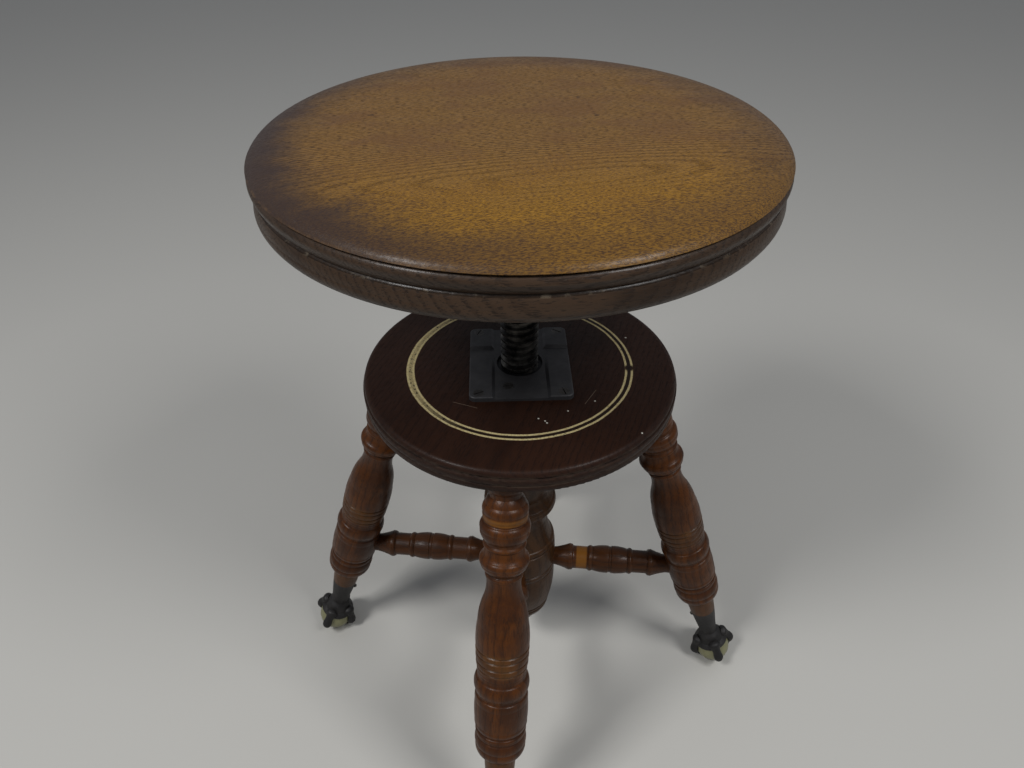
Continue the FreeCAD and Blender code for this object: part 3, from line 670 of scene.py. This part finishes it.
@dataclass(frozen=True)
class Seat:
    """The two boards of the seat and the iron below them, with lengths in millimetres."""

    grain_azimuth: float = 15.0
    loop_centre: tuple[float, float] = (0.030, -0.078)
    cloud: Pattern = Pattern((0.03, 0.03, 0.018), detail=5.0, roughness=0.62)
    fleck: Pattern = Pattern((1.7, 1.7, 0.42), detail=3.5, roughness=0.66)
    # Brown clouds
    brown: Colour = (0.090, 0.041, 0.020)
    brown_levels: Levels = (0.46, 0.62)
    brown_strength: float = 0.50
    # Golden front with dark flecks
    gold: Colour = (0.270, 0.132, 0.010)
    fleck_dark: Colour = (0.052, 0.022, 0.005)
    fleck_levels: Levels = (0.44, 0.58)
    fleck_strength: float = 0.92
    front_lean: float = 0.25
    front_stir: float = 70.0
    front_levels: Levels = (20.0, 130.0)
    front_strength: float = 0.60
    gold_everywhere: float = 0.18
    # Dark edge: painted shade all round, as if the top curved down there, with patina deepest on the side
    # that hands hold
    edge_shade_and_patina: Colour = (0.026, 0.017, 0.016)
    edge_starts: float = 58.0
    edge_ends: float = 6.0
    edge_stir: float = 55.0
    edge_grain: float = 18.0
    edge_shade_and_patina_strength: float = 0.42
    grip_azimuth: float = -152.0
    grip_levels: Levels = (20.0, 165.0)
    grip_strength: float = 0.50
    # Knots
    knots: tuple[tuple[tuple[float, float], float], ...] = (
        ((-104.5, 12.8), 2.6), ((49.8, 25.1), 2.2), ((149.0, -23.4), 2.0), ((36.2, 60.6), 1.8),
    )
    knot_slope: float = 0.2
    knot_dark: Colour = (0.022, 0.011, 0.008)
    knot_levels: Levels = (0.35, 0.5)
    knot_strength: float = 0.85
    # Pale crest of the rim: a painted highlight line along one bead, kept in worn patches
    crest_height: float = 550.5
    crest_levels: Levels = (0.4, 1.4)
    crest_patches: Pattern = Pattern(0.12, detail=5.0, roughness=0.75)
    crest_wear: Levels = (0.55, 0.64)
    crest_highlight_and_wear: Colour = (0.17, 0.135, 0.095)
    crest_highlight_strength: float = 0.4
    speck_spacing: float = 16.0

    def dress(self, nodes: dict[str, bpy.types.Object]) -> None:
        """Finish the seat's pieces.

        Args:
            nodes: Every carried-over piece by name.
        """
        low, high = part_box("seat_top_board")
        radius = (high.x - low.x) / 2 / MILLIMETRE
        turn = math.radians(self.grain_azimuth)
        along = Vector((math.cos(turn), math.sin(turn), 0.0))
        origin = Vector((*self.loop_centre, high.z))
        frame = grain_frame(origin, along, Vector((0, 0, 1)))
        dress(nodes["seat_top_board"], self.top_finish(frame, radius))
        dress(nodes["seat_rim_board"], self.rim_finish(frame))
        dress(nodes["seat_iron"], CAST_IRON.material("seat_iron_black"))
        dress(nodes["seat_iron_screws"], SCREW_STEEL.material("seat_screw_steel"))
        dress(nodes["seat_iron_pin"], SCREW_STEEL.material("seat_pin_steel"))

    def top_finish(self, frame: Matrix, radius: float) -> bpy.types.Material:
        """Golden oak with painted shade and patina along its edge, darkest where hands have held it.

        Args:
            frame: The grain's frame.
            radius: The board's radius in millimetres.

        Returns:
            The material.
        """
        recipe = Recipe("seat_golden_oak")
        place = recipe.placed(frame)
        tone, open_grain = SEAT_OAK.figure(recipe, place)
        x, y, _ = recipe.split(recipe.placed(Matrix.Identity(4)))
        cloud = self.cloud.read(recipe, place)
        fleck = self.fleck.read(recipe, place)
        tone = self.golden(recipe, (x, y), (cloud, fleck), tone)
        tone = self.shaded_and_gripped_edge(recipe, (x, y), (cloud, fleck), radius, tone)
        flawed = recipe.step(fleck, *self.knot_levels)
        for centre, size in self.knots:
            end = (centre[0] + size, centre[1] + size * self.knot_slope)
            knot = recipe.mark((x, y), centre, end, size)
            tone = recipe.mix(knot * flawed * self.knot_strength, tone, self.knot_dark)
        tone = SEAT_OAK.aged_with_groove_shade(recipe, place, tone)
        return SEAT_OAK.shaded(recipe, place, tone, open_grain)

    def golden(self, recipe: Recipe, level: tuple[Value, Value], noises: tuple[Value, Value],
               tone: Value) -> Value:
        """Brown clouds, and more gold with dark flecks towards the front.

        Args:
            recipe: The finish that is being made.
            level: The two level coordinates.
            noises: The cloud and the fleck.
            tone: The colour so far.

        Returns:
            The colour with both.
        """
        x, y = level
        cloud, fleck = noises
        tone = recipe.mix(recipe.step(cloud, *self.brown_levels) * self.brown_strength, tone, self.brown)
        stirred = -y + x * self.front_lean + (cloud - NOISE_MEAN) * self.front_stir
        front = recipe.step(stirred, *self.front_levels)
        dark = recipe.step(fleck, *self.fleck_levels) * self.fleck_strength
        golden = recipe.mix(dark, self.gold, self.fleck_dark)
        return recipe.mix(front * self.front_strength + self.gold_everywhere, tone, golden)

    def shaded_and_gripped_edge(self, recipe: Recipe, level: tuple[Value, Value], noises: tuple[Value, Value],
                radius: float, tone: Value) -> Value:
        """A dark edge of painted shade and patina, darkest on the side that hands have held.

        Args:
            recipe: The finish that is being made.
            level: The two level coordinates.
            noises: The cloud and the fleck.
            radius: The board's radius in millimetres.
            tone: The colour so far.

        Returns:
            The colour with the dark edge.
        """
        x, y = level
        cloud, fleck = noises
        aim = math.radians(self.grip_azimuth)
        towards = x * math.cos(aim) + y * math.sin(aim)
        stirred = distance(x, y) + (cloud - NOISE_MEAN) * self.edge_stir
        stirred = stirred + (fleck - NOISE_MEAN) * self.edge_grain
        # painted shade: the whole edge is darkened, standing in for a top that curves down; patina adds
        # to it on the held side
        outer = recipe.step(stirred, radius - self.edge_starts, radius - self.edge_ends)
        grip = recipe.step(towards, *self.grip_levels)
        return recipe.mix(outer * (self.edge_shade_and_patina_strength + grip * self.grip_strength), tone, self.edge_shade_and_patina)

    def rim_finish(self, frame: Matrix) -> bpy.types.Material:
        """Dark beads with a painted highlight and wear along one crest, and paint caught along it.

        Args:
            frame: The grain's frame.

        Returns:
            The material.
        """
        recipe = Recipe("seat_rim_dark_oak")
        place = recipe.placed(frame)
        tone, open_grain = RIM_OAK.figure(recipe, place)
        tone = RIM_OAK.aged_with_groove_shade(recipe, place, RIM_OAK.blotched(recipe, place, tone))
        flat = recipe.placed(Matrix.Identity(4))
        _, _, height = recipe.split(flat)
        # painted highlight: a pale line at one height round the beads, where they catch the light, broken
        # into worn patches
        crest = recipe.step(abs(height - self.crest_height), *self.crest_levels, Direction.FALLING)
        patches = recipe.step(self.crest_patches.read(recipe, flat), *self.crest_wear)
        tone = recipe.mix(crest * patches * self.crest_highlight_strength, tone, self.crest_highlight_and_wear)
        tone = with_paint_specks(recipe, flat, tone, self.speck_spacing)
        return RIM_OAK.shaded(recipe, place, tone, open_grain)


@dataclass(frozen=True)
class LowerDisc:
    """The lower disc with its gold lines and the hub under it, with lengths in millimetres."""

    grain: tuple[float, float, float] = (0.25, 1.0, 0.0)
    hub_outwards: tuple[float, float, float] = (-0.6, -1.0, 0.0)
    hub_heart_aside: float = 0.004
    face_starts: float = 0.8
    face_ends: float = 0.4
    # Gold lines
    outer_ring: float = 90.9
    inner_ring: float = 86.3
    line_width: float = 1.8
    line_core: float = 0.6
    line_edge: float = 1.3
    wander: Pattern = Pattern(0.05)
    wander_reach: float = 1.1
    flakes: Pattern = Pattern(0.35, detail=5.0, roughness=0.7)
    flake_tones: Levels = (0.4, 0.7)
    flake_hold: Levels = (0.30, 0.46)
    gold: Colour = (0.50, 0.42, 0.22)
    dull_gold: Colour = (0.28, 0.21, 0.09)
    broken_at: tuple[float, float] = (88.6, 3.2)
    broken_width: float = 9.0
    # Gap between the lines
    gap_levels: Levels = (1.1, 2.4)
    gap_dark: Colour = (0.012, 0.008, 0.006)
    gap_strength: float = 0.7
    fill_left: Levels = (30.0, 90.0)
    fill_hold: Levels = (0.38, 0.50)
    fill_strength: float = 0.75
    # Scratches and drops
    scratches: tuple[tuple[tuple[float, float], tuple[float, float]], ...] = (
        ((-46.3, -52.7), (-26.9, -58.1)),
        ((54.6, -45.7), (62.6, -27.8)),
    )
    scratch_pale: Colour = (0.20, 0.15, 0.11)
    scratch_width: float = 0.5
    scratch_strength: float = 0.5
    drops: tuple[tuple[float, float], ...] = (
        (25.6, -68.3), (27.2, -70.4), (42.1, -55.2), (97.1, -75.0), (62.1, -41.4), (20.5, -66.0),
    )
    drop_white: Colour = (0.55, 0.53, 0.46)
    drop_width: float = 1.5
    speck_spacing: float = 22.0
    # Worn lines, each with its depth below the top and its strength
    worn_lines: tuple[tuple[float, float], ...] = ((5.4, 0.6), (12.0, 0.35))
    worn_levels: Levels = (0.4, 1.1)
    worn_patches: Pattern = Pattern(0.06, detail=5.0, roughness=0.7)
    worn_hold: Levels = (0.40, 0.56)

    def dress(self, nodes: dict[str, bpy.types.Object]) -> None:
        """Finish the disc and the hub.

        Args:
            nodes: Every carried-over piece by name.
        """
        low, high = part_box("base_disc")
        frame = grain_frame(Vector((0, 0, high.z)), Vector(self.grain), Vector((0, 0, 1)))
        dress(nodes["base_disc"], self.disc_finish(frame, high.z / MILLIMETRE))
        heart = Vector((self.hub_heart_aside, 0, low.z))
        hub = grain_frame(heart, Vector((0, 0, 1)), Vector(self.hub_outwards))
        dress(nodes["centre_hub"], HUB_WOOD.material("hub_brown", hub))

    def disc_finish(self, frame: Matrix, top: float) -> bpy.types.Material:
        """Dark mahogany stain with two worn gold lines, scratches and drops of paint.

        Args:
            frame: The grain's frame.
            top: Height of the disc's top in millimetres.

        Returns:
            The material.
        """
        recipe = Recipe("disc_dark_mahogany")
        place = recipe.placed(frame)
        tone, open_grain = DISC_WOOD.figure(recipe, place)
        tone = DISC_WOOD.aged_with_groove_shade(recipe, place, DISC_WOOD.blotched(recipe, place, tone))
        flat = recipe.placed(Matrix.Identity(4))
        x, y, height = recipe.split(flat)
        on_top = recipe.step(height, top - self.face_starts, top - self.face_ends)
        tone = self.gilded(recipe, flat, (x, y), tone, on_top)
        for start, end in self.scratches:
            scratch = recipe.mark((x, y), start, end, self.scratch_width) * on_top
            tone = recipe.mix(scratch * self.scratch_strength, tone, self.scratch_pale)
        for centre in self.drops:
            drop = recipe.mark((x, y), centre, centre, self.drop_width) * on_top
            tone = recipe.mix(drop * PAINT_STRENGTH, tone, self.drop_white)
        tone = self.with_worn_lines(recipe, flat, height, top, tone)
        tone = with_paint_specks(recipe, flat, tone, self.speck_spacing)
        return DISC_WOOD.shaded(recipe, place, tone, open_grain)

    def gilded(self, recipe: Recipe, flat: Value, across: tuple[Value, Value], tone: Value,
               on_top: Value) -> Value:
        """Two gold lines with a dark gap that is partly filled on the left.

        Args:
            recipe: The finish that is being made.
            flat: Millimetres in the stool's frame.
            across: The two level coordinates.
            tone: The colour under the gold.
            on_top: 1 on the disc's upper face.

        Returns:
            The colour with the gold.
        """
        reach = distance(*across) + (self.wander.read(recipe, flat) - NOISE_MEAN) * self.wander_reach
        half = self.line_width / 2
        levels = (half * self.line_core, half * self.line_edge)
        lines = (recipe.step(abs(reach - self.outer_ring), *levels, Direction.FALLING)
                 + recipe.step(abs(reach - self.inner_ring), *levels, Direction.FALLING))
        middle = (self.outer_ring + self.inner_ring) / 2
        gap = recipe.step(abs(reach - middle), *self.gap_levels, Direction.FALLING)
        flakes = self.flakes.read(recipe, flat)
        left = recipe.step(-across[0], *self.fill_left)
        fill = gap * left * recipe.step(flakes, *self.fill_hold)
        held = recipe.step(flakes, *self.flake_hold)
        away = 1 - recipe.mark(across, self.broken_at, self.broken_at, self.broken_width)
        gold = recipe.mix(recipe.step(flakes, *self.flake_tones), self.gold, self.dull_gold)
        tone = recipe.mix(gap * on_top * self.gap_strength, tone, self.gap_dark)
        tone = recipe.mix(fill * on_top * away * self.fill_strength, tone, gold)
        return recipe.mix(lines * held * on_top * away, tone, gold)

    def with_worn_lines(self, recipe: Recipe, flat: Value, height: Value, top: float,
                        tone: Value) -> Value:
        """Pale rubbed lines along the disc's edge and its groove.

        Args:
            recipe: The finish that is being made.
            flat: Millimetres in the stool's frame.
            height: Height above the floor in millimetres.
            top: Height of the disc's top.
            tone: The colour under the lines.

        Returns:
            The colour with the lines.
        """
        patches = recipe.step(self.worn_patches.read(recipe, flat), *self.worn_hold)
        for drop, strength in self.worn_lines:
            line = recipe.step(abs(height - (top - drop)), *self.worn_levels, Direction.FALLING)
            tone = recipe.mix(line * patches * strength, tone, DISC_WOOD.worn)
        return tone


def dress_screw(nodes: dict[str, bpy.types.Object]) -> None:
    """Finish the spindle, its nut and plate, the stop at its end, and the small steel pieces.

    Args:
        nodes: Every carried-over piece by name.
    """
    finishes = {
        "spindle": (SPINDLE_STEEL, "spindle_dark_steel"),
        "spindle_stop_washer": (PLATE_STEEL, "washer_steel"),
        "spindle_stop_pin": (SCREW_STEEL, "stop_pin_steel"),
        "spindle_nut": (CAST_IRON, "nut_cast_iron"),
        "nut_plate": (PLATE_STEEL, "plate_dark_steel"),
        "nut_plate_screws": (SCREW_STEEL, "plate_screw_steel"),
        "foot_pins": (SCREW_STEEL, "foot_pin_steel"),
    }
    for name, (finish, label) in finishes.items():
        dress(nodes[name], finish.material(label))


@dataclass(frozen=True)
class Leg:
    """One leg with its stretcher, claw foot and ball, with levels in millimetres."""

    name: str
    azimuth: float
    banded: bool = False
    golden_stretch: Optional[Levels] = None
    top_circle: float = 0.1015
    rung_heart: float = 0.02
    grain_turn: float = 1.7
    cloud: Pattern = Pattern((0.05, 0.05, 0.03), detail=4.0, roughness=0.65)
    # Red clouds
    red: Colour = (0.026, 0.009, 0.004)
    red_levels: Levels = (0.42, 0.60)
    red_strength: float = 0.60
    # Pale ankle
    ankle: Levels = (84.0, 92.0)
    ankle_tone: Colour = (0.078, 0.038, 0.014)
    ankle_strength: float = 0.35
    ankle_pores: float = 0.2
    # Ochre in the fine grooves
    grooves_middle: float = 192.0
    grooves_reach: float = 13.0
    grooves_core: float = 0.75
    ochre: Colour = (0.120, 0.056, 0.011)
    ochre_strength: float = 0.38
    worn_levels: Levels = (0.36, 0.56)
    worn_most: float = 0.5
    worn_least: float = 0.35
    # Golden ring
    ring_height: float = 319.0
    ring_levels: Levels = (1.6, 3.4)
    ring_strength: float = 0.35
    ring_wear: float = 0.5
    # Stretcher
    rung_dark: Colour = (0.016, 0.009, 0.006)
    rung_darkness: float = 0.40
    stretch_fade: float = 0.8
    stretch_strength: float = 0.8

    def axis_frame(self) -> tuple[Vector, Vector]:
        """Centre of the leg's ball and the direction up along the leg."""
        low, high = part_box("glass_ball_" + self.name)
        foot = (low + high) / 2
        outwards = Vector((foot.x, foot.y, 0)).normalized()
        top = outwards * self.top_circle + Vector((0, 0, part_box("base_disc")[0].z))
        return foot, (top - foot).normalized()

    def dress(self, nodes: dict[str, bpy.types.Object]) -> None:
        """Finish the leg's pieces.

        Args:
            nodes: Every carried-over piece by name.
        """
        foot, along = self.axis_frame()
        outwards = Vector((foot.x, foot.y, 0)).normalized()
        side = Vector((-outwards.y, outwards.x, 0))
        turn = math.radians(self.azimuth * self.grain_turn)
        grain = grain_frame(foot, along, outwards * math.cos(turn) + side * math.sin(turn))
        dress(nodes["leg_" + self.name], self.shank_finish(grain))
        low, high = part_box("stretcher_" + self.name)
        middle = Vector((0, 0, (low.z + high.z) / 2))
        rung = grain_frame(middle + outwards * self.rung_heart, outwards, Vector((0, 0, 1)) + side)
        dress(nodes["stretcher_" + self.name], self.rung_finish(rung))
        dress(nodes["claw_foot_" + self.name], FOOT_IRON.material("claw_iron_" + self.name))
        dress(nodes["glass_ball_" + self.name], OLD_GLASS.material("ball_glass_" + self.name))

    def shank_finish(self, grain: Matrix) -> bpy.types.Material:
        """Blotchy brown wood, pale at the ankle, with ochre in the fine grooves.

        Args:
            grain: The grain's frame, whose heights count from the ball's centre.

        Returns:
            The material.
        """
        recipe = Recipe("leg_brown_" + self.name)
        place = recipe.placed(grain)
        height = recipe.split(place)[2]
        tone, open_grain = TURNED_WOOD.figure(recipe, place)
        tone = TURNED_WOOD.blotched(recipe, place, tone)
        cloud = self.cloud.read(recipe, place)
        tone = recipe.mix(recipe.step(cloud, *self.red_levels) * self.red_strength, tone, self.red)
        ankle = recipe.step(height, *self.ankle, Direction.FALLING)
        ankle = ankle * (self.ankle_strength + open_grain * self.ankle_pores)
        tone = TURNED_WOOD.aged_with_groove_shade(recipe, place, recipe.mix(ankle, tone, self.ankle_tone))
        levels = (self.grooves_reach * self.grooves_core, self.grooves_reach)
        band = recipe.step(abs(height - self.grooves_middle), *levels, Direction.FALLING)
        worn = recipe.step(cloud, *self.worn_levels, Direction.FALLING) * self.worn_most + self.worn_least
        tone = recipe.mix(band * worn * self.ochre_strength, tone, self.ochre)
        if self.banded:
            ring = recipe.step(abs(height - self.ring_height), *self.ring_levels, Direction.FALLING)
            tone = recipe.mix(ring * (self.ring_strength + worn * self.ring_wear), tone, GOLDEN_BROWN)
        return TURNED_WOOD.shaded(recipe, place, tone, open_grain)

    def rung_finish(self, grain: Matrix) -> bpy.types.Material:
        """A darker stretcher, with one golden stretch where the leg asks for it.

        Args:
            grain: The grain's frame, whose heights count from near the stool's axis.

        Returns:
            The material.
        """
        recipe = Recipe("stretcher_brown_" + self.name)
        place = recipe.placed(grain)
        out = recipe.split(place)[2]
        tone, open_grain = TURNED_WOOD.figure(recipe, place)
        tone = TURNED_WOOD.blotched(recipe, place, tone)
        tone = recipe.mix(self.rung_darkness, tone, self.rung_dark)
        if self.golden_stretch:
            start, end = self.golden_stretch
            middle, half = (start + end) / 2, (end - start) / 2
            levels = (half - self.stretch_fade, half + self.stretch_fade)
            golden = recipe.step(abs(out - middle), *levels, Direction.FALLING)
            tone = recipe.mix(golden * self.stretch_strength, tone, GOLDEN_BROWN)
        return TURNED_WOOD.shaded(recipe, place, TURNED_WOOD.aged_with_groove_shade(recipe, place, tone), open_grain)


@dataclass(frozen=True)
class Lamp:
    """A square soft lamp, in metres and watts."""

    name: str
    place: tuple[float, float, float]
    size: float
    power: float

    def hang(self, aim: Vector) -> None:
        """Put the lamp into the scene.

        Args:
            aim: The point that it faces.
        """
        data = bpy.data.lights.new(self.name, "AREA")
        data.size = self.size
        data.energy = self.power
        lamp = bpy.data.objects.new(self.name, data)
        lamp.location = self.place
        lamp.rotation_euler = (aim - Vector(self.place)).to_track_quat("-Z", "Y").to_euler()
        bpy.context.scene.collection.objects.link(lamp)


@dataclass(frozen=True)
class Studio:
    """Floor, lamps, world and camera, with angles in degrees."""

    camera_place: tuple[float, float, float] = (0.04997, -0.51212, 0.76252)
    camera_turn: float = 6.28
    camera_pitch: float = 38.27
    camera_roll: float = -0.607
    lens: float = 27.72
    sensor: float = 36.0
    floor_reach: float = 12.0
    floor_colour: Colour = (0.46, 0.45, 0.42)
    floor_roughness: float = 0.7
    sky_colour: Colour = (0.235, 0.245, 0.265)
    lamp_aim: tuple[float, float, float] = (0.0, 0.0, 0.4)
    lamps: tuple[Lamp, ...] = (
        Lamp("key_lamp", (-1.1, -1.0, 2.1), 0.55, 31.0),
        Lamp("fill_lamp", (1.2, -0.7, 2.0), 0.65, 23.0),
    )

    def build(self) -> None:
        """Set up everything around the stool."""
        self.make_floor()
        self.make_world()
        for lamp in self.lamps:
            lamp.hang(Vector(self.lamp_aim))
        self.make_camera()
        bpy.context.scene.view_settings.view_transform = "Standard"

    def make_floor(self) -> None:
        """A plain pale floor."""
        shape = bmesh.new()
        bmesh.ops.create_grid(shape, x_segments=1, y_segments=1, size=self.floor_reach)
        mesh = bpy.data.meshes.new("floor")
        shape.to_mesh(mesh)
        shape.free()
        floor = bpy.data.objects.new("floor", mesh)
        bpy.context.scene.collection.objects.link(floor)
        recipe = Recipe("floor_pale")
        mesh.materials.append(recipe.finish(Base_Color=self.floor_colour, Roughness=self.floor_roughness))

    def make_world(self) -> None:
        """An even pale sky."""
        world = bpy.data.worlds.new("pale_sky")
        bpy.context.scene.world = world
        world.use_nodes = True
        sky = world.node_tree.nodes["Background"]
        sky.inputs["Color"].default_value = with_alpha(self.sky_colour)
        sky.inputs["Strength"].default_value = 1.0

    def make_camera(self) -> None:
        """The camera at the photograph's viewpoint."""
        data = bpy.data.cameras.new("view")
        data.lens = self.lens
        data.sensor_width = self.sensor
        camera = bpy.data.objects.new("view", data)
        turn = Matrix.Rotation(math.radians(self.camera_turn), 4, "Z")
        tip = Matrix.Rotation(math.radians(QUARTER_TURN - self.camera_pitch), 4, "X")
        roll = Matrix.Rotation(math.radians(self.camera_roll), 4, "Z")
        camera.matrix_world = Matrix.Translation(self.camera_place) @ turn @ tip @ roll
        bpy.context.scene.collection.objects.link(camera)
        bpy.context.scene.camera = camera


def main() -> None:
    """Dress the whole stool."""
    logging.basicConfig(level=logging.INFO, format="%(message)s")
    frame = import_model()
    nodes = frame["nodes"]
    Seat().dress(nodes)
    LowerDisc().dress(nodes)
    dress_screw(nodes)
    stretches = {"right": (36.0, 46.0)}
    for index, name in enumerate(LEG_NAMES):
        azimuth = QUARTER_TURN * (index - 1)
        Leg(name, azimuth, banded=name == "front", golden_stretch=stretches.get(name)).dress(nodes)
    Studio().build()


if __name__ == "__main__":
    main()
